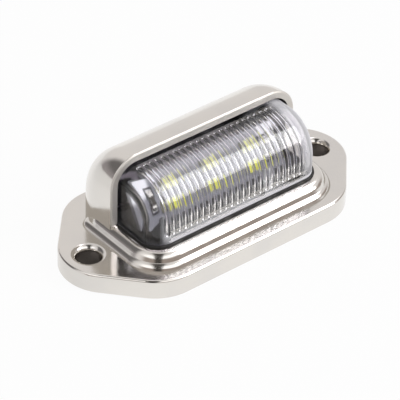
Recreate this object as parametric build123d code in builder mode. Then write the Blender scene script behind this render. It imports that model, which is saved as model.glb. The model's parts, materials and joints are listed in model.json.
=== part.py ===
from build123d import *
import math
import os

# Number plate lamp, in millimetres: X runs along the lamp, the lens faces -Y, Z = 0 is the mounting face

# Base plate
plate_length = 76.4
plate_width = 37.0
plate_thickness = 4.6
plate_tip_radius = 10.8
plate_corner_radius = 11.4
plate_corner_inset = 18.0
plate_edge_radius = 0.6

# Fixing holes, and the two ears, cored from below beside a solid band
ear_length = 12.4
hole_inset = 5.7
hole_diameter = 5.4
hole_mouth_radius = 1.4
ear_skin = 2.2
ear_wall = 1.8
ear_rib_width = 9.0

# Hood over the back of the lens
hood_top = 24.5
hood_front = 0.9
hood_back = 14.5
hood_wall = 1.75
hood_end_radius = 7.0
hood_back_radius = 13.2
hood_lip_radius = 0.45

# Stepped moulding: a rounded bead on the plate and a rounded rim on the bead, both with leaning sides
opening_front = -11.85
rim_front_wall = 2.85
rim_side_ledge = 0.7
rim_height = 1.8
rim_round = 2.0
bead_width = 1.2
bead_height = 1.36
bead_round = 1.5
bead_back = 10.3
bead_back_radius = 2.8
rim_back_radius = 4.2
step_draft = 25.0

# Lens dome and its flange
lens_gap = 0.55
lens_wall = 2.0
lens_end_radius = 4.4
lens_barrel_radius = 10.0
flange_width = 1.6
flange_thickness = 1.3
flange_gap = 0.15

# Flutes on the inner face of the lens
flute_inset = 4.2
flute_pitch = 1.62
flute_width = 0.84
flute_radius = 0.45
flute_height = 0.36
flute_bottom = 9.2
flute_end = 0.35

# Seal on the flange, with a lip that stands in the gap round the lens
seal_thickness = 0.7
seal_lip = 0.45
seal_rise = 0.45

# Base cover and the ribs that carry the board
cover_thickness = 1.7
cover_recess = 0.3
cover_gap = 0.15
rib_inset = 4.9
rib_width = 1.8
rib_depth = 1.4
rib_hook = 0.9

# Circuit board, leaning back from its lower edge
board_end_gap = 2.1
board_width = 10.7
board_thickness = 1.2
board_tilt = 60.0
board_y = -0.55
board_z = 11.57
board_corner_radius = 0.6

# Lamps on the board
led_columns = 3
led_rows = 2
led_inset = 8.1
led_row_pitch = 4.8
led_length = 3.5
led_width = 2.8
led_height = 0.8
led_edge = 0.15
window_margin = 0.2
window_depth = 0.4

# Chip resistors at the two ends of the board
resistor_inset = 3.5
resistor_length = 3.2
resistor_width = 1.6
resistor_height = 0.6
resistor_cap = 0.5
solder_length = 0.8
solder_height = 0.45

# Inlet for the lead, on the lamp's middle line
grommet_y = 2.0
grommet_waist = 5.0
grommet_flange = 7.0
grommet_lip = 0.8
grommet_bore = 3.0
grommet_gap = 0.1

# Heights above the mounting face
bead_top = plate_thickness + bead_height
rim_top = bead_top + rim_height
cover_top = cover_recess + cover_thickness
flange_top = cover_top + flange_thickness
seat_roof = flange_top + seal_thickness
grommet_web_bottom = cover_recess + grommet_lip

# Outer faces of the hood, and of the lens that stands under it
hole_spacing = plate_length - 2 * hole_inset
hood_half = plate_length / 2 - ear_length
lens_inset = hood_wall + lens_gap
lens_half = hood_half - lens_inset
lens_front = opening_front + lens_gap
lens_back = hood_back - lens_inset
lens_top = hood_top - lens_inset
lens_back_radius = hood_back_radius - lens_inset
barrel_y = lens_front + lens_barrel_radius
barrel_z = lens_top - lens_barrel_radius

# Spacings along the lamp
flute_count = int(2 * (lens_half - flute_inset) / flute_pitch) + 1
board_length = 2 * (lens_half - lens_wall - board_end_gap)
led_pitch = (board_length - 2 * led_inset) / (led_columns - 1)
resistor_spacing = board_length - 2 * resistor_inset
rib_spacing = board_length - 2 * rib_inset

# Planes of the board: its front face, and the section across it
board_normal = Vector(0, 0, 1).rotate(Axis.X, board_tilt)
board_face = Plane(origin=(0, board_y, board_z), x_dir=(1, 0, 0), z_dir=board_normal)
board_section = Plane(origin=(0, board_y, board_z), x_dir=board_face.y_dir, z_dir=(1, 0, 0))

os.makedirs("parts", exist_ok=True)


def plan(height, half, front, back, front_radius, back_radius):
    """Rounded rectangle in plan at a height, with its own radius at the front and at the back."""
    with BuildSketch(Plane.XY.offset(height)) as shape:
        with Locations((0, (front + back) / 2)):
            Rectangle(2 * half, back - front)
        fillet(shape.vertices().group_by(Axis.Y)[0], front_radius)
        fillet(shape.vertices().group_by(Axis.Y)[-1], back_radius)
    return shape.sketch


def lens_plan(height, grow):
    """Foot of the lens in plan at a height, grown by a distance on every side."""
    radius = lens_end_radius + grow
    return plan(height, lens_half + grow, lens_front - grow, lens_back + grow, radius, radius)


def lens_body(inset, bottom):
    """Dome of the lens from a height up, set in by a distance, and rounded along both its ends."""
    front = lens_front + inset
    back = lens_back - inset
    top = lens_top - inset
    with BuildPart() as body:
        with BuildSketch(Plane.YZ) as side_view:
            with Locations(((front + back) / 2, (bottom + top) / 2)):
                Rectangle(back - front, top - bottom)
            fillet(side_view.vertices().group_by(Axis.Y)[-1].sort_by(Axis.X)[0], lens_barrel_radius - inset)
            fillet(side_view.vertices().group_by(Axis.Y)[-1].sort_by(Axis.X)[-1], lens_back_radius - inset)
        extrude(amount=lens_half - inset, both=True)
        for end_face in body.faces().filter_by(Plane.YZ):
            below = end_face.edges().sort_by(Axis.Z)[0]
            fillet(end_face.edges() - [below], lens_end_radius - inset)
    return body.part


# Hood, closed inside until the housing is hollowed: flat in front, with a round back and round ends
with BuildPart() as hood:
    with BuildSketch(Plane.YZ) as hood_side:
        with Locations(((hood_front + hood_back) / 2, hood_top / 2)):
            Rectangle(hood_back - hood_front, hood_top)
        fillet(hood_side.vertices().group_by(Axis.Y)[-1].sort_by(Axis.X)[-1], hood_back_radius)
    extrude(amount=hood_half, both=True)
    for end_face in hood.faces().filter_by(Plane.YZ):
        in_front = end_face.edges().sort_by(Axis.Y)[0]
        below = end_face.edges().sort_by(Axis.Z)[0]
        fillet(end_face.edges() - [in_front, below], hood_end_radius)
    front_edges = hood.faces().sort_by(Axis.Y)[0].edges().sort_by(Axis.Z)[1:]
    fillet(front_edges, hood_lip_radius)

# Housing: plate, moulding and hood in one
with BuildPart() as housing:
    with BuildSketch() as plate_plan:
        with Locations((plate_tip_radius - plate_length / 2, 0), (plate_length / 2 - plate_tip_radius, 0)):
            Circle(plate_tip_radius)
        corner_spacing = (plate_length - 2 * plate_corner_inset, plate_width - 2 * plate_corner_radius)
        with GridLocations(*corner_spacing, 2, 2):
            Circle(plate_corner_radius)
        make_hull(plate_plan.edges())
    extrude(amount=plate_thickness)
    fillet(housing.edges().group_by(Axis.Z)[-1], plate_edge_radius)

    rim_half = hood_half + rim_side_ledge
    rim_front = opening_front - rim_front_wall
    rim_radius = lens_end_radius + lens_gap + rim_front_wall
    bead_plan = plan(
        plate_thickness,
        rim_half + bead_width,
        rim_front - bead_width,
        bead_back,
        rim_radius + bead_width,
        bead_back_radius,
    )
    extrude(bead_plan, amount=bead_height, taper=step_draft)
    fillet(housing.edges().group_by(Axis.Z)[-1], bead_round)
    rim_spread = bead_height * math.tan(math.radians(step_draft))
    rim_plan = plan(
        plate_thickness,
        rim_half + rim_spread,
        rim_front - rim_spread,
        bead_back - bead_width + rim_spread,
        rim_radius + rim_spread,
        rim_back_radius,
    )
    extrude(rim_plan, amount=bead_height + rim_height, taper=step_draft)
    fillet(housing.edges().group_by(Axis.Z)[-1], rim_round)
    add(hood.part)

    add(lens_body(-lens_gap, 0), mode=Mode.SUBTRACT)
    extrude(lens_plan(0, flange_width + flange_gap), amount=seat_roof, mode=Mode.SUBTRACT)

    with BuildSketch() as ear_pockets:
        add(plate_plan.sketch)
        offset(amount=-ear_wall)
        pocket_start = lens_half + flange_width + flange_gap + ear_wall
        Rectangle(2 * pocket_start, plate_width, mode=Mode.SUBTRACT)
        Rectangle(plate_length, ear_rib_width, mode=Mode.SUBTRACT)
    extrude(amount=plate_thickness - ear_skin, mode=Mode.SUBTRACT)
    with BuildSketch():
        with Locations((-hole_spacing / 2, 0), (hole_spacing / 2, 0)):
            Circle(hole_diameter / 2)
    extrude(amount=plate_thickness, mode=Mode.SUBTRACT)
    on_top = housing.edges().filter_by(GeomType.CIRCLE).filter_by_position(
        Axis.Z, plate_thickness, plate_thickness
    )
    mouths = on_top.filter_by(lambda edge: abs(edge.radius - hole_diameter / 2) < 0.01)
    fillet(mouths, hole_mouth_radius)

housing.part.label = "housing"
export_step(housing.part, "parts/housing.step")

# One flute, swept up the inside of the lens and back along its top, with a rounded end
with BuildPart() as flute:
    flute_depth = lens_wall - flute_radius + flute_height
    with BuildLine(Plane.YZ) as flute_path:
        Line((lens_front + flute_depth, flute_bottom), (lens_front + flute_depth, barrel_z))
        CenterArc((barrel_y, barrel_z), lens_barrel_radius - flute_depth, 180, -90)
        Line((barrel_y, lens_top - flute_depth), (flute_end, lens_top - flute_depth))
    with BuildSketch(Plane(origin=flute_path.line @ 0, z_dir=flute_path.line % 0)):
        Circle(flute_radius)
        Rectangle(flute_width, 2 * flute_radius, mode=Mode.INTERSECT)
    sweep()
    with Locations(flute_path.line @ 1):
        Sphere(flute_radius, rotation=(0, 90, 0))

# Lens: dome, flange and flutes
with BuildPart() as lens:
    add(lens_body(0, cover_top))
    extrude(lens_plan(cover_top, flange_width), amount=flange_thickness)
    add(lens_body(lens_wall, cover_top), mode=Mode.SUBTRACT)
    with GridLocations(flute_pitch, flute_pitch, flute_count, 1):
        add(flute.part)
lens.part.label = "lens"
export_step(lens.part, "parts/lens.step")

# Seal: flat ring under the roof of the seat, and the lip round the lens
with BuildPart() as lens_seal:
    extrude(lens_plan(flange_top, flange_width), amount=seal_thickness)
    lip_height = rim_top + seal_rise - flange_top
    extrude(lens_plan(flange_top, seal_lip), amount=lip_height)
    extrude(lens_plan(flange_top, 0), amount=lip_height, mode=Mode.SUBTRACT)
lens_seal.part.label = "lens_seal"
export_step(lens_seal.part, "parts/lens_seal.step")

# Base cover: plate in the seat, two ribs for the board and the web for the inlet
with BuildPart() as base_cover:
    extrude(lens_plan(cover_recess, flange_width + flange_gap - cover_gap), amount=cover_thickness)
    lower_back = board_section.from_local_coords((-board_width / 2, -board_thickness, 0))
    lower_front = board_section.from_local_coords((-board_width / 2, 0, 0))
    hook_inner = board_section.from_local_coords((rib_hook - board_width / 2, 0, 0))
    hook_outer = board_section.from_local_coords((rib_hook - board_width / 2, rib_hook, 0))
    upper_back = board_section.from_local_coords((board_width / 2, -board_thickness, 0))
    rib_back = upper_back.Y + rib_depth
    for rib_x in (-rib_spacing / 2, rib_spacing / 2):
        with BuildSketch(Plane.YZ.offset(rib_x)):
            with BuildLine():
                Polyline(
                    (upper_back.Y, upper_back.Z),
                    (lower_back.Y, lower_back.Z),
                    (lower_front.Y, lower_front.Z),
                    (hook_inner.Y, hook_inner.Z),
                    (hook_outer.Y, hook_outer.Z),
                    (hook_outer.Y, cover_top),
                    (rib_back, cover_top),
                    (rib_back, upper_back.Z),
                    close=True,
                )
            make_face()
        extrude(amount=rib_width / 2, both=True)
    with BuildSketch(Plane.XY.offset(cover_recess)):
        with Locations((0, grommet_y)):
            Circle(grommet_flange / 2 + grommet_gap)
    extrude(amount=grommet_lip, mode=Mode.SUBTRACT)
    with BuildSketch(Plane.XY.offset(cover_recess)):
        with Locations((0, grommet_y)):
            Circle(grommet_waist / 2 + grommet_gap)
    extrude(amount=cover_thickness, mode=Mode.SUBTRACT)
base_cover.part.label = "base_cover"
export_step(base_cover.part, "parts/base_cover.step")

# Grommet, turned about its own axis, gripping the web of the cover
with BuildPart() as cable_grommet:
    with BuildSketch(Plane.XZ.offset(-grommet_y)):
        with BuildLine():
            Polyline(
                (grommet_bore / 2, cover_recess),
                (grommet_flange / 2, cover_recess),
                (grommet_flange / 2, grommet_web_bottom),
                (grommet_waist / 2, grommet_web_bottom),
                (grommet_waist / 2, cover_top),
                (grommet_flange / 2, cover_top),
                (grommet_flange / 2 - grommet_lip / 2, cover_top + grommet_lip),
                (grommet_bore / 2, cover_top + grommet_lip),
                close=True,
            )
        make_face()
    revolve(axis=Axis((0, grommet_y, 0), (0, 0, 1)))
cable_grommet.part.label = "cable_grommet"
export_step(cable_grommet.part, "parts/cable_grommet.step")

# Circuit board
with BuildPart() as circuit_board:
    with BuildSketch(board_face):
        RectangleRounded(board_length, board_width, board_corner_radius)
    extrude(amount=-board_thickness)
circuit_board.part.label = "circuit_board"
export_step(circuit_board.part, "parts/circuit_board.step")

# Lamps: a package with a window, and the phosphor that fills the window
led_number = 0
for row in range(led_rows):
    for column in range(led_columns):
        led_number += 1
        led_x = (column - (led_columns - 1) / 2) * led_pitch
        led_up = ((led_rows - 1) / 2 - row) * led_row_pitch
        window_size = (led_length - 2 * window_margin, led_width - 2 * window_margin)
        with BuildPart() as led:
            with BuildSketch(board_face):
                with Locations((led_x, led_up)):
                    Rectangle(led_length, led_width)
            extrude(amount=led_height)
            chamfer(led.faces().sort_by(Axis(board_face.origin, board_normal))[-1].edges(), led_edge)
            with BuildSketch(board_face.offset(led_height)):
                with Locations((led_x, led_up)):
                    Rectangle(*window_size)
            extrude(amount=-window_depth, mode=Mode.SUBTRACT)
        led.part.label = f"led_{led_number}"
        export_step(led.part, f"parts/led_{led_number}.step")
        with BuildPart() as phosphor:
            with BuildSketch(board_face.offset(led_height)):
                with Locations((led_x, led_up)):
                    Rectangle(*window_size)
            extrude(amount=-window_depth)
        phosphor.part.label = f"phosphor_{led_number}"
        export_step(phosphor.part, f"parts/phosphor_{led_number}.step")

# Chip resistors: body between two metal end caps
for side, resistor_x in (("left", -resistor_spacing / 2), ("right", resistor_spacing / 2)):
    with BuildPart() as resistor:
        with BuildSketch(board_face):
            with Locations((resistor_x, 0)):
                Rectangle(resistor_width, resistor_length - 2 * resistor_cap)
        extrude(amount=resistor_height)
    resistor.part.label = f"resistor_{side}"
    export_step(resistor.part, f"parts/resistor_{side}.step")
    with BuildPart() as caps:
        with BuildSketch(board_face):
            with Locations((resistor_x, 0)):
                with GridLocations(resistor_width, resistor_length - resistor_cap, 1, 2):
                    Rectangle(resistor_width, resistor_cap)
        extrude(amount=resistor_height)
    caps.part.label = f"resistor_{side}_caps"
    export_step(caps.part, f"parts/resistor_{side}_caps.step")

# Solder at both ends of both chips, a wedge from the cap down to the board
with BuildPart() as solder_joints:
    for resistor_x in (-resistor_spacing / 2, resistor_spacing / 2):
        for way in (-1, 1):
            with BuildSketch(board_section.offset(resistor_x)):
                with BuildLine():
                    Polyline(
                        (way * resistor_length / 2, 0),
                        (way * (resistor_length / 2 + solder_length), 0),
                        (way * resistor_length / 2, solder_height),
                        close=True,
                    )
                make_face()
            extrude(amount=resistor_width / 2, both=True)
solder_joints.part.label = "solder_joints"
export_step(solder_joints.part, "parts/solder_joints.step")
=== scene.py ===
import json
import math

import bpy
from mathutils import Matrix, Vector

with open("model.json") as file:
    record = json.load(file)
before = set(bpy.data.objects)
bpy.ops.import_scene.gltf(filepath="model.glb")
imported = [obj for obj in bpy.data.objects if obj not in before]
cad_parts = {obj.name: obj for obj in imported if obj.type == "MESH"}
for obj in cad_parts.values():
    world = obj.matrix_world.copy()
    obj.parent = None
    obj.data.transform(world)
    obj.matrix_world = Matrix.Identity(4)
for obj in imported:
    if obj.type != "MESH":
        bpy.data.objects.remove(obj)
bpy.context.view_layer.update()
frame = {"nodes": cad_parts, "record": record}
print("frame loaded:", len(frame["nodes"]), "nodes")


class Val:
    # one output socket, so that shader maths reads as maths
    def __init__(self, graph, socket):
        self.graph = graph
        self.socket = socket

    def math(self, operation, *operands):
        return self.graph.node("ShaderNodeMath", {"operation": operation}, dict(enumerate(operands)))

    def __add__(self, other):
        return self.math("ADD", self, other)

    def __radd__(self, other):
        return self.math("ADD", other, self)

    def __sub__(self, other):
        return self.math("SUBTRACT", self, other)

    def __rsub__(self, other):
        return self.math("SUBTRACT", other, self)

    def __mul__(self, other):
        return self.math("MULTIPLY", self, other)

    def __rmul__(self, other):
        return self.math("MULTIPLY", other, self)

    def most(self, other):
        return self.math("MAXIMUM", self, other)

    def least(self, other):
        return self.math("MINIMUM", self, other)

    def size(self):
        return self.math("ABSOLUTE", self)

    def root(self):
        return self.math("SQRT", self)

    def out(self, name):
        return Val(self.graph, self.socket.node.outputs[name])


class Graph:
    # node tree of one material or of the world
    def __init__(self, owner):
        owner.use_nodes = True
        self.tree = owner.node_tree
        self.tree.nodes.clear()

    def node(self, kind, settings=None, sockets=None):
        made = self.tree.nodes.new(kind)
        for name, value in (settings or {}).items():
            setattr(made, name, value)
        for name, value in (sockets or {}).items():
            if isinstance(value, Val):
                self.tree.links.new(value.socket, made.inputs[name])
            else:
                made.inputs[name].default_value = value
        shown = [socket for socket in made.outputs if socket.enabled]
        return Val(self, shown[0]) if shown else None

    def coords(self, output="Object"):
        return self.node("ShaderNodeTexCoord").out(output)

    def facing(self):
        return self.node("ShaderNodeNewGeometry").out("Normal")

    def noise(self, scale, detail):
        sockets = {"Vector": self.coords(), "Scale": scale, "Detail": detail}
        return self.node("ShaderNodeTexNoise", None, sockets)

    def span(self, value, ends, results):
        # smooth step from one result to the other between two values
        sockets = {
            "Value": value,
            "From Min": ends[0],
            "From Max": ends[1],
            "To Min": results[0],
            "To Max": results[1],
        }
        return self.node("ShaderNodeMapRange", {"interpolation_type": "SMOOTHSTEP"}, sockets)

    def rise(self, value, ends):
        return self.span(value, ends, (0.0, 1.0))

    def fall(self, value, ends):
        return self.span(value, ends, (1.0, 0.0))

    def blend(self, factor, first, second):
        # the colour sockets of a Mix node share their names with others, so they go by number
        factorIn, firstIn, secondIn, colourOut = 0, 6, 7, 2
        sockets = {factorIn: factor, firstIn: first, secondIn: second}
        return self.node("ShaderNodeMix", {"data_type": "RGBA"}, sockets).out(colourOut)

    def vector(self, operation, first, second):
        return self.node("ShaderNodeVectorMath", {"operation": operation}, {0: first, 1: second})

    def offset(self, place, origin):
        return self.vector("SUBTRACT", place, origin).out("Vector")

    def dot(self, first, second):
        return self.vector("DOT_PRODUCT", first, second).out("Value")

    def split(self, vector):
        made = self.node("ShaderNodeSeparateXYZ", None, {0: vector})
        return made.out("X"), made.out("Y"), made.out("Z")

    def bump(self, height, distance):
        return self.node("ShaderNodeBump", None, {"Height": height, "Distance": distance, "Strength": 1.0})

    def mixShaders(self, factor, first, second):
        return self.node("ShaderNodeMixShader", None, {0: factor, 1: first, 2: second})

    def finish(self, shader):
        self.node("ShaderNodeOutputMaterial", None, {"Surface": shader})

    def finishOpaque(self, colour, metal, rough, normal):
        sockets = {"Base Color": colour, "Metallic": metal, "Roughness": rough, "Normal": normal}
        self.finish(self.node("ShaderNodeBsdfPrincipled", None, sockets))


def rgba(colour, tone=1.0):
    return (*[part * tone for part in colour], 1.0)


# finishes of the pieces

platingLook = {
    "colour": (0.775, 0.743, 0.70),
    "tint": (0.735, 0.71, 0.68),
    "cloud": 90.0,                         # patches of the two tones, per metre
    "cloudDetail": 3.0,
    "cloudEnds": (0.35, 0.7),
    "rough": (0.13, 0.19),
    "gloss": 279.0,                        # patches of gloss, per metre
    "glossDetail": 4.0,
    "glossEnds": (0.35, 0.75),
    "peel": 520.0,                         # orange peel, per metre
    "peelDetail": 1.0,
    "peelDepth": 0.000006,
    "insideShade": (0.05, 0.046, 0.048),          # painted shade, matt near-black on the moulding's inside under the hood
    "insideShadeRough": 0.5,
    "middle": (0.0, 0.002, 0.0),           # faces that look towards this point get the painted shade
    "inward": (-0.0006, -0.0002),
    "insideShadeEnds": (0.0262, 0.0266),          # the ears beyond this are plated all over
    "back": (0.74, 0.65, 0.70),            # painted light, pale lower half of the wall behind the lens
    "backFrom": (0.006, 0.008),
    "backTop": (0.0098, 0.0112),
    "backEnds": (0.0185, 0.0205),
    "lipToward": (0.0, -1.0, 0.0),         # the way the hood's front looks
    "lipFacing": (0.15, 0.60),
    "lipAbove": (0.0080, 0.0085),          # heights where the hood's front begins
    # painted shade, darker plating on the hood's front to dim the soft box's reflection there
    "lipShadeTone": 0.84,
    "lipRough": 0.40,
}


def insideShadeFaces(g, place, facing):
    # 1 on the inside of the moulding, where shade is painted
    outward = g.dot(facing, g.offset(place, platingLook["middle"]))
    x = g.split(place)[0]
    return g.fall(outward, platingLook["inward"]) * g.fall(x.size(), platingLook["insideShadeEnds"])


def paintedLightBack(g, place):
    # 1 on the lower half of the wall behind the lens, where light is painted
    x, y, z = g.split(place)
    low = g.rise(y, platingLook["backFrom"]) * g.fall(z, platingLook["backTop"])
    return low * g.fall(x.size(), platingLook["backEnds"])


def lipFace(g, place, facing):
    # 1 on the front of the hood and its edge, where the plating is rougher and its colour darkened as
    # painted shade
    forward = g.dot(facing, platingLook["lipToward"])
    z = g.split(place)[2]
    return g.rise(forward, platingLook["lipFacing"]) * g.rise(z, platingLook["lipAbove"])


def platingFinish():
    material = bpy.data.materials.new("nickel chrome plating")
    g = Graph(material)
    place = g.coords()
    facing = g.facing()
    insideShade = insideShadeFaces(g, place, facing)
    lip = lipFace(g, place, facing)
    cloud = g.noise(platingLook["cloud"], platingLook["cloudDetail"])
    tone = g.rise(cloud, platingLook["cloudEnds"])
    plated = g.blend(tone, rgba(platingLook["colour"]), rgba(platingLook["tint"]))
    # painted shade on the hood's front
    plated = g.blend(lip, plated, rgba(platingLook["colour"], platingLook["lipShadeTone"]))
    # painted shade inside the moulding, with painted light on the lower back wall
    inside = g.blend(paintedLightBack(g, place), rgba(platingLook["insideShade"]), rgba(platingLook["back"]))
    gloss = g.noise(platingLook["gloss"], platingLook["glossDetail"])
    rough = g.span(gloss, platingLook["glossEnds"], platingLook["rough"])
    rough = rough + insideShade * platingLook["insideShadeRough"] + lip * platingLook["lipRough"]
    peel = g.bump(g.noise(platingLook["peel"], platingLook["peelDetail"]), platingLook["peelDepth"])
    g.finishOpaque(g.blend(insideShade, plated, inside), 1.0 - insideShade, rough, peel)
    return material


lensLook = {
    "colour": (0.965, 0.965, 0.985),
    "ior": 1.5,
    "rough": (0.015, 0.04),
    "gloss": 300.0,                        # patches of gloss, per metre
    "glossDetail": 3.0,
    "glossEnds": (0.3, 0.8),
    "barrel": (-0.0013, 0.0122),           # middle of the rounded front, along Y and Z
    "inner": (0.0083, 0.0086),             # distance from it where the inner face ends
    "innerEnds": (0.0217, 0.0220),
    "innerRough": 0.10,                    # the flutes are less polished than the outside
    "paintedReflectionColour": (0.95, 0.94, 0.98),            # painted reflection, a pale matt haze round the right end and along the foot
    "end": (0.0182, 0.0232),               # where it begins and is full at the foot, along X
    "endLean": 0.13,                       # it reaches further from the end higher up
    "endFacing": (0.80, 0.95),
    "endReflection": 0.60,
    "foot": (0.0086, 0.0092),
    "footFront": (-0.0100, -0.0096),
    "footLeft": (-0.0200, -0.0185),
    "footReflection": 0.95,
}


def innerFace(g):
    # 1 on the fluted inside of the lens
    x, y, z = g.split(g.coords())
    back = (lensLook["barrel"][0] - y).most(0.0)
    above = (z - lensLook["barrel"][1]).most(0.0)
    reach = (back * back + above * above).root()
    return g.fall(reach, lensLook["inner"]) * g.fall(x.size(), lensLook["innerEnds"])


def paintedReflectionParts(g):
    # painted reflection, a pale matt haze on the outside of the lens, round its right end and below the
    # flutes
    x, y, z = g.split(g.coords())
    endward = g.split(g.facing())[0].size()
    fromFoot = z - lensLook["foot"][0]
    end = g.span(x + fromFoot * lensLook["endLean"], lensLook["end"], (0.0, lensLook["endReflection"]))
    end = end * g.fall(endward, lensLook["endFacing"])
    foot = g.span(z, lensLook["foot"], (lensLook["footReflection"], 0.0))
    foot = foot * g.fall(y, lensLook["footFront"]) * g.rise(x, lensLook["footLeft"])
    return end.most(foot)


def lensFinish():
    material = bpy.data.materials.new("clear moulded plastic")
    g = Graph(material)
    gloss = g.noise(lensLook["gloss"], lensLook["glossDetail"])
    rough = g.span(gloss, lensLook["glossEnds"], lensLook["rough"])
    clear = g.node("ShaderNodeBsdfPrincipled", None, {
        "Base Color": rgba(lensLook["colour"]),
        "Roughness": rough + innerFace(g) * lensLook["innerRough"],
        "IOR": lensLook["ior"],
        "Transmission Weight": 1.0,
    })
    paintedReflection = g.node("ShaderNodeBsdfDiffuse", None, {"Color": rgba(lensLook["paintedReflectionColour"])})
    passing = g.node("ShaderNodeBsdfTransparent", None, {"Color": rgba(lensLook["colour"])})
    inShadow = g.node("ShaderNodeLightPath").out("Is Shadow Ray")
    # the pale matt haze mixed over the clear plastic is painted reflection
    g.finish(g.mixShaders(inShadow, g.mixShaders(paintedReflectionParts(g), clear, paintedReflection), passing))
    return material


mouldedNoise = {
    "ends": (0.3, 0.7),
    "cloudDetail": 4.0,
    "glossFiner": 2.3,                     # patches of gloss are finer than those of colour
    "glossDetail": 3.0,
    "grainDetail": 2.0,
}


def mouldedSurface(g, look):
    # colour in clouds of two tones, uneven gloss, and a grain of bumps
    cloud = g.noise(look["cloud"], mouldedNoise["cloudDetail"])
    tone = g.rise(cloud, mouldedNoise["ends"])
    colour = g.blend(tone, rgba(look["colour"]), rgba(look["tint"]))
    gloss = g.noise(look["cloud"] * mouldedNoise["glossFiner"], mouldedNoise["glossDetail"])
    rough = g.span(gloss, mouldedNoise["ends"], look["rough"])
    grain = g.bump(g.noise(look["grain"], mouldedNoise["grainDetail"]), look["depth"])
    return colour, rough, grain


plainLooks = {
    "seal": {
        "colour": (0.016, 0.015, 0.016),
        "tint": (0.03, 0.028, 0.028),
        "rough": (0.45, 0.7),
        "cloud": 250.0,
        "grain": 4000.0,
        "depth": 0.00003,
    },
    "cover": {
        "colour": (0.86, 0.855, 0.855),
        "tint": (0.90, 0.895, 0.895),
        "rough": (0.35, 0.5),
        "cloud": 120.0,
        "grain": 5000.0,
        "depth": 0.00003,
        "shaded": (0.11, 0.11, 0.115),     # darker behind the board and at the left end
        "shadedFrom": (-0.0027, -0.0016),
        "litFrom": (-0.0150, -0.0122),
    },
    "package": {
        "colour": (0.64, 0.64, 0.46),
        "tint": (0.58, 0.58, 0.42),
        "rough": (0.35, 0.5),
        "cloud": 900.0,
        "grain": 9000.0,
        "depth": 0.00001,
    },
    "phosphor": {
        "colour": (0.70, 0.70, 0.05),
        "tint": (0.78, 0.78, 0.10),
        "rough": (0.25, 0.4),
        "cloud": 1500.0,
        "grain": 12000.0,
        "depth": 0.00001,
        "pale": (0.74, 0.73, 0.27),        # painted highlight, a paler upper row under the lens's highlight
        "paleAbove": (0.0110, 0.0120),
    },
    "resistor": {
        "colour": (0.045, 0.038, 0.028),
        "tint": (0.07, 0.06, 0.045),
        "rough": (0.25, 0.4),
        "cloud": 900.0,
        "grain": 9000.0,
        "depth": 0.00001,
    },
    "solder": {
        "colour": (0.78, 0.76, 0.70),
        "tint": (0.68, 0.67, 0.64),
        "rough": (0.22, 0.4),
        "cloud": 1200.0,
        "grain": 5000.0,
        "depth": 0.00003,
        "metal": 1.0,
    },
}


def plainFinish(name, look):
    material = bpy.data.materials.new(name)
    g = Graph(material)
    colour, rough, grain = mouldedSurface(g, look)
    if "shaded" in look:
        x, y = g.split(g.coords())[:2]
        lit = g.rise(x, look["litFrom"]) * g.fall(y, look["shadedFrom"])
        colour = g.blend(lit, rgba(look["shaded"]), colour)
    # painted highlight, a paler colour above a height
    if "pale" in look:
        z = g.split(g.coords())[2]
        colour = g.blend(g.rise(z, look["paleAbove"]), colour, rgba(look["pale"]))
    g.finishOpaque(colour, look.get("metal", 0.0), rough, grain)
    return material


boardLook = {
    # painted shade, the white board given a dark grey for the shade of the hood and lens over it
    "colour": (0.215, 0.215, 0.245),
    "tint": (0.19, 0.19, 0.22),
    "rough": (0.3, 0.45),
    "cloud": 400.0,
    "grain": 6000.0,
    "depth": 0.00001,
    "origin": (0.0, -0.00055, 0.01157),    # middle of the board's front face
    "up": (0.0, 0.5, 0.866),
    "soft": 0.00005,                       # blur at the edges of what is printed
    "chipX": 0.0159,
    "outline": (0.00150, 0.0032),          # half sizes of the printed frame round a chip
    "outlineWidth": 0.00050,
    "outlineOpen": 0.0005,                 # half the gap in its sides
    "ink": (0.015, 0.013, 0.018),
    "lampX": 0.0113,
    "lampUp": 0.0024,
    "pad": (0.00215, 0.0010),              # half sizes of the solder pads under a lamp
    "chipPad": (0.0009, 0.0025),
    "tin": (0.62, 0.61, 0.58),
    "track": (0.0160, 0.0006),
    "trackTone": 0.9,
    "lightSpot": (0.0194, 0.0050),            # painted light, a pale spot at each upper corner
    "lightSpotReach": (0.0034, 0.0050),
    "lightSpotColour": (0.95, 0.94, 0.97),
}


def boxMask(g, across, along, halfSizes):
    # 1 within half sizes of a point
    soft = boardLook["soft"]
    wide, tall = halfSizes
    return g.fall(across.size(), (wide, wide + soft)) * g.fall(along.size(), (tall, tall + soft))


def printedFrame(g, fromChip, up):
    # 1 on the outline round a chip, which is open halfway up its sides
    wide, tall = boardLook["outline"]
    line = boardLook["outlineWidth"]
    gap = boardLook["outlineOpen"]
    outer = boxMask(g, fromChip, up, (wide, tall))
    inner = boxMask(g, fromChip, up, (wide - line, tall - line))
    return (outer - inner) * g.rise(up, (gap, gap + boardLook["soft"]))


def paintedLightSpot(g, along, upward):
    # 1 at the upper corners, where light is painted
    x = along - boardLook["lightSpot"][0]
    z = upward - boardLook["lightSpot"][1]
    return g.fall((x * x + z * z).root(), boardLook["lightSpotReach"])


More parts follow.
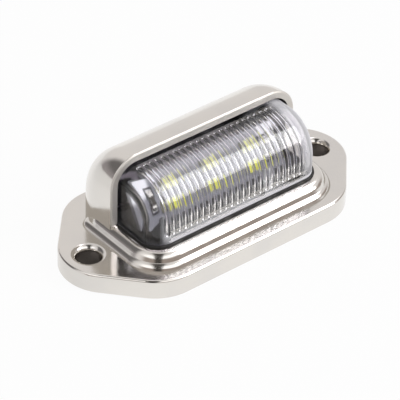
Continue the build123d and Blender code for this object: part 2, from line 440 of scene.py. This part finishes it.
def boardFinish():
    material = bpy.data.materials.new("lamp board")
    g = Graph(material)
    place = g.offset(g.coords(), boardLook["origin"])
    along = g.split(place)[0].size()
    upward = g.dot(place, boardLook["up"])
    up = upward.size()
    fromChip = along - boardLook["chipX"]
    fromLamp = along.least((along - boardLook["lampX"]).size())
    fromRow = up - boardLook["lampUp"]
    chipPads = boxMask(g, fromChip, up, boardLook["chipPad"])
    pads = boxMask(g, fromLamp, fromRow, boardLook["pad"]).most(chipPads)
    track = boxMask(g, along, fromRow, boardLook["track"])
    ink = printedFrame(g, fromChip, up)
    colour, rough, grain = mouldedSurface(g, boardLook)
    colour = g.blend(track, colour, rgba(boardLook["colour"], boardLook["trackTone"]))
    # painted light on the upper corners
    colour = g.blend(paintedLightSpot(g, along, upward), colour, rgba(boardLook["lightSpotColour"]))
    colour = g.blend(pads, colour, rgba(boardLook["tin"]))
    colour = g.blend(ink, colour, rgba(boardLook["ink"]))
    g.finishOpaque(colour, pads * (1.0 - ink), rough, grain)
    return material


finishes = {slot: plainFinish("lamp " + slot, look) for slot, look in plainLooks.items()}
finishes["board"] = boardFinish()
finishes["chrome"] = platingFinish()
finishes["lens"] = lensFinish()
nodeSlots = {part["node"]: part["material_slot"] for part in frame["record"]["subparts"]}
for name, piece in frame["nodes"].items():
    piece.data.materials.clear()
    piece.data.materials.append(finishes[nodeSlots[name]])
print("finishes:", len(finishes))


# studio: pale floor, one large soft light, and a room that the plating mirrors

room = {
    "seen": (1.0, 1.0, 1.0),               # white backdrop for the camera
    "fill": (0.47, 0.47, 0.47),            # light on matt surfaces from all round
    "through": (0.87, 0.80, 0.845),        # what shows through the clear lens, behind and in front
    "throughFront": (0.40, 0.365, 0.385),
    "ahead": (-0.25, 0.25),                # from the camera's side to the far side, along Y
    "wall": (0.825, 0.805, 0.80),          # what the plating sees in most directions
    "glow": (1.46, 1.46, 1.47),            # lit tent above the camera's side
    "glowTop": (0.75, 0.92),
    "glowRight": (0.59, 0.69),
    "gapTone": (0.36, 0.31, 0.28),         # dim gap between the floor and the tent
    "gapTop": (0.34, 0.47),                # sine of the heights where it ends
    "sideTone": (0.34, 0.318, 0.325),      # unlit side behind the lamp's left end, darker higher up
    "sideHighTone": (0.165, 0.158, 0.158),
    "sideHigh": (0.08, 0.40),
    "sideAcross": (-0.32, -0.02),
    "sideAhead": (0.25, 0.45),
    "cameraTone": (0.06, 0.055, 0.05),     # stand of the camera, a dark upright strip
    "camera": (-0.650, -0.760, 0.0),
    "cameraAhead": (-0.1, 0.1),
    "cameraAside": (0.760, -0.650, 0.0),
    "cameraWidth": (0.12, 0.24),
    "overTone": (3.2, 3.1, 3.2),           # lit panel overhead
    "over": (0.52, 0.10, 0.85),
    "overAngles": (6.0, 17.0),
    "againTone": (0.55, 0.53, 0.505),      # what two bounces off the plating see
}


def smoothCap(g, toward, direction, angles):
    # 1 within the first angle of a direction, 0 beyond the second
    near, far = [math.cos(math.radians(angle)) for angle in angles]
    return g.rise(g.dot(toward, Vector(direction).normalized()), (far, near))


def raysSeen(g):
    # rays from the camera, straight off polished faces, and straight through clear ones
    path = g.node("ShaderNodeLightPath")
    straight = 1.0 - path.out("Diffuse Depth").least(1.0)
    return (
        path.out("Is Camera Ray"),
        path.out("Is Glossy Ray") * straight,
        path.out("Is Transmission Ray") * straight,
    )


def mirroredRoom(g, toward, front):
    # what the plating sees of the room
    across, ahead, height = g.split(toward)
    glow = front * g.fall(height, room["glowTop"]) * g.fall(across, room["glowRight"])
    gap = front * g.fall(height, room["gapTop"])
    side = g.fall(across, room["sideAcross"]) * g.rise(ahead, room["sideAhead"])
    sideTop = g.rise(height, room["sideHigh"])
    sideTone = g.blend(sideTop, rgba(room["sideTone"]), rgba(room["sideHighTone"]))
    aside = g.dot(toward, room["cameraAside"]).size()
    camera = g.fall(aside, room["cameraWidth"])
    camera = camera * g.rise(g.dot(toward, room["camera"]), room["cameraAhead"])
    over = smoothCap(g, toward, room["over"], room["overAngles"])
    again = (g.node("ShaderNodeLightPath").out("Glossy Depth") - 1.0).most(0.0).least(1.0)
    colour = g.blend(glow, rgba(room["wall"]), rgba(room["glow"]))
    colour = g.blend(gap, colour, rgba(room["gapTone"]))
    colour = g.blend(side, colour, sideTone)
    colour = g.blend(camera, colour, rgba(room["cameraTone"]))
    colour = g.blend(over, colour, rgba(room["overTone"]))
    return g.blend(again, colour, rgba(room["againTone"]))


def buildRoom():
    world = bpy.data.worlds.new("studio room")
    bpy.context.scene.world = world
    g = Graph(world)
    toward = g.coords("Generated")
    front = g.fall(g.split(toward)[1], room["ahead"])
    seen, inMirror, through = raysSeen(g)
    colour = g.blend(inMirror, rgba(room["fill"]), mirroredRoom(g, toward, front))
    beyond = g.blend(front, rgba(room["through"]), rgba(room["throughFront"]))
    colour = g.blend(through, colour, beyond)
    colour = g.blend(seen, colour, rgba(room["seen"]))
    background = g.node("ShaderNodeBackground", None, {"Color": colour, "Strength": 1.0})
    g.node("ShaderNodeOutputWorld", None, {"Surface": background})


floorLook = {
    "size": 4.0,
    "below": 0.00002,                      # gap under the lamp, so that no faces coincide
    "colour": (0.86, 0.86, 0.855),
    "covered": (0.0365, 0.017),            # half sizes of the patch that the plate stands on
    "coveredEdge": (0.95, 1.0),
    # painted shade, a dark floor under the plate, seen through its holes
    "coveredShade": (0.20, 0.185, 0.18),
    "seenWhite": 0.96,                     # how white the camera sees it
    "throughFrom": (-0.02, 0.01),          # through the lens, from its front tone to the one behind
    "shade": 0.62,                         # how white the plating mirrors it, to the left
    "shadeFrom": (-0.055, -0.025),
}


def floorFinish():
    material = bpy.data.materials.new("pale studio floor")
    g = Graph(material)
    across, ahead = g.split(g.coords())[:2]
    x = across * (1 / floorLook["covered"][0])
    y = ahead * (1 / floorLook["covered"][1])
    clear = g.rise(x * x + y * y, floorLook["coveredEdge"])
    # painted shade under the plate
    colour = g.blend(clear, rgba(floorLook["coveredShade"]), rgba(floorLook["colour"]))
    matt = g.node("ShaderNodeBsdfDiffuse", None, {"Color": colour})
    seen, inMirror, through = raysSeen(g)
    behind = g.rise(ahead, floorLook["throughFrom"])
    beyond = g.blend(behind, rgba(room["throughFront"]), rgba(room["through"]))
    glow = g.blend(through, rgba(room["seen"]), beyond)
    glowing = g.node("ShaderNodeEmission", None, {"Color": glow, "Strength": 1.0})
    mirrorWhite = g.span(across, floorLook["shadeFrom"], (floorLook["shade"], 1.0))
    factor = (seen * floorLook["seenWhite"]).most(inMirror * mirrorWhite).most(through)
    g.finish(g.mixShaders(factor * clear, matt, glowing))
    return material


def buildFloor():
    mesh = bpy.data.meshes.new("floor")
    half = floorLook["size"] / 2
    corners = [(-half, -half, 0), (half, -half, 0), (half, half, 0), (-half, half, 0)]
    mesh.from_pydata(corners, [], [(0, 1, 2, 3)])
    mesh.materials.append(floorFinish())
    floor = bpy.data.objects.new("floor", mesh)
    floor.location.z = -floorLook["below"]
    bpy.context.scene.collection.objects.link(floor)


softBox = {
    "toward": (0.53, -0.60, 0.60),
    "distance": 0.9,
    "size": (0.36, 0.62),
    "power": 4.0,
}


def buildLight():
    data = bpy.data.lights.new("front soft box", "AREA")
    data.shape = "RECTANGLE"
    data.size, data.size_y = softBox["size"]
    data.energy = softBox["power"]
    lamp = bpy.data.objects.new("front soft box", data)
    toward = Vector(softBox["toward"]).normalized()
    lamp.location = toward * softBox["distance"]
    lamp.rotation_mode = "QUATERNION"
    lamp.rotation_quaternion = toward.to_track_quat("Z", "Y")
    bpy.context.scene.collection.objects.link(lamp)


view = {
    "azimuth": 40.514,                     # degrees to the left of the lamp's front
    "elevation": 37.169,
    "roll": 1.881,
    "distance": 0.61426,                   # from the lamp's origin
    "focalPixels": 2767.9,
    "imagePixels": 400.0,
    "originPixel": (204.969, 215.532),     # where the lamp's origin lies in the image
    "sensor": 36.0,
}


def buildCamera():
    azimuth = math.radians(view["azimuth"])
    elevation = math.radians(view["elevation"])
    roll = math.radians(view["roll"])
    right = Vector((math.cos(azimuth), -math.sin(azimuth), 0.0))
    level = Vector((math.sin(azimuth), math.cos(azimuth), 0.0))
    up = level * math.sin(elevation) + Vector((0.0, 0.0, math.cos(elevation)))
    back = right.cross(up)
    across = right * math.cos(roll) + up * math.sin(roll)
    above = back.cross(across)
    middle = view["imagePixels"] / 2
    offX = (middle - view["originPixel"][0]) / view["focalPixels"]
    offY = (view["originPixel"][1] - middle) / view["focalPixels"]
    axis = (across * offX + above * offY - back).normalized()
    across = axis.cross(above).normalized()
    above = across.cross(axis)
    data = bpy.data.cameras.new("camera")
    data.sensor_width = view["sensor"]
    data.lens = view["focalPixels"] * view["sensor"] / view["imagePixels"]
    camera = bpy.data.objects.new("camera", data)
    turn = Matrix((across, above, -axis)).transposed().to_4x4()
    camera.matrix_world = Matrix.Translation(back * view["distance"]) @ turn
    bpy.context.scene.collection.objects.link(camera)
    bpy.context.scene.camera = camera


buildRoom()
buildFloor()
buildLight()
buildCamera()
bpy.context.scene.view_settings.view_transform = "Standard"
print("studio ready")
